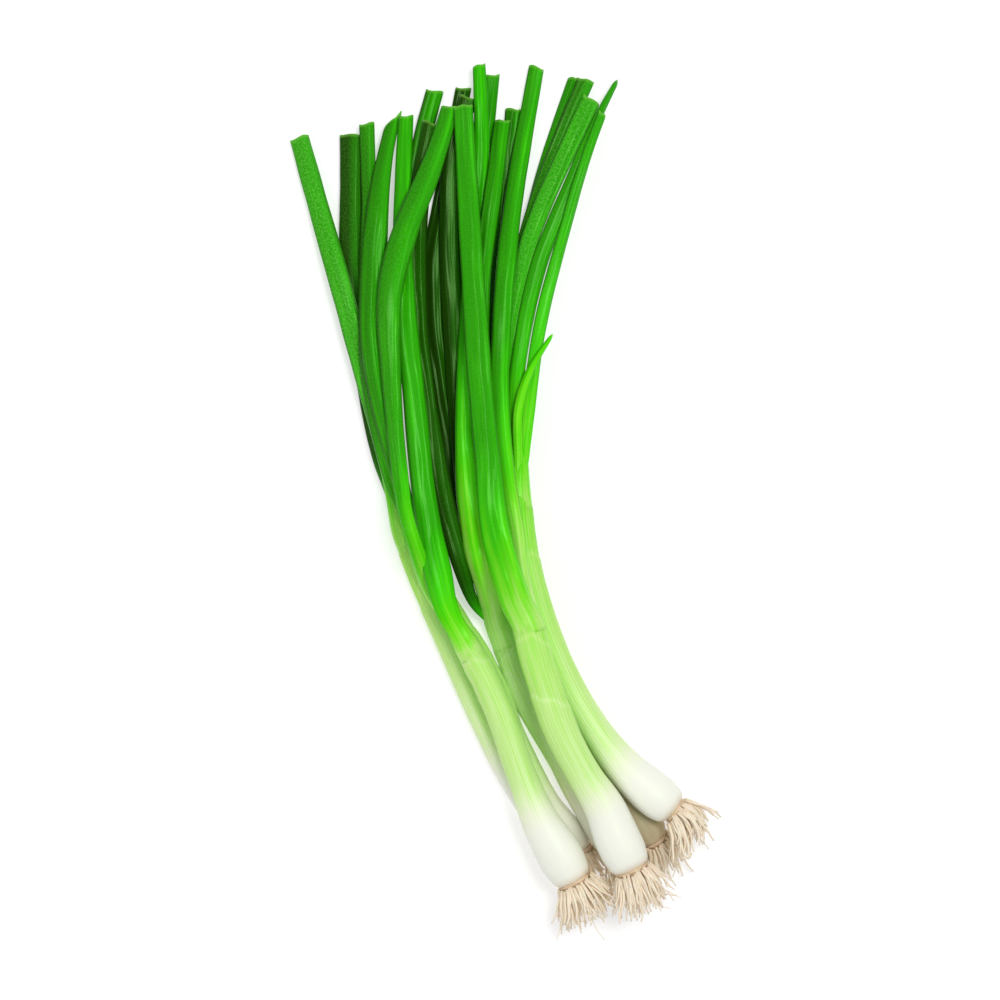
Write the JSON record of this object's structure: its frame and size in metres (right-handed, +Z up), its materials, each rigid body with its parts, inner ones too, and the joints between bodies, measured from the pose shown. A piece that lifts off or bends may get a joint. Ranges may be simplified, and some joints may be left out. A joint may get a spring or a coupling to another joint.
{
  "type": "spring onion bunch",
  "caption": "bunch of raw spring onions lying flat, with white bulbs, dry root tufts, pale sheaths and long hollow green leaves cut square at the tips",
  "frame": {"origin": "middle of the footprint, on the surface that the bunch lies on", "axes": "+Y from the roots to the cut leaf tips, +Z up"},
  "size_m": [0.1616, 0.3258, 0.0328],
  "materials": {
    "shank": "moist pale green sheath running into a white bulb, finely ribbed lengthwise",
    "leaf": "smooth waxy green leaf with fine lengthwise veins",
    "roots": "dry cream root threads on a tan root plate"
  },
  "bodies": {
    "root": {"onion_a_shank": "shank", "onion_a_leaf_1": "leaf", "onion_a_leaf_2": "leaf", "onion_a_roots": "roots", "onion_b_shank": "shank", "onion_b_leaf_1": "leaf", "onion_b_leaf_2": "leaf", "onion_b_leaf_3": "leaf", "onion_b_roots": "roots", "onion_c_shank": "shank", "onion_c_leaf_1": "leaf", "onion_c_leaf_2": "leaf", "onion_c_leaf_3": "leaf", "onion_c_roots": "roots", "onion_d_shank": "shank", "onion_d_leaf_1": "leaf", "onion_d_leaf_2": "leaf", "onion_d_leaf_3": "leaf", "onion_d_leaf_4": "leaf", "onion_d_leaf_5": "leaf", "onion_d_roots": "roots", "onion_e_shank": "shank", "onion_e_leaf_1": "leaf", "onion_e_leaf_2": "leaf", "onion_e_leaf_3": "leaf", "onion_e_leaf_4": "leaf", "onion_e_roots": "roots", "onion_f_shank": "shank", "onion_f_leaf_1": "leaf", "onion_f_leaf_2": "leaf", "onion_f_roots": "roots", "onion_g_shank": "shank", "onion_g_leaf_1": "leaf", "onion_g_leaf_2": "leaf", "onion_g_leaf_3": "leaf", "onion_g_roots": "roots"}
  },
  "joints": []
}
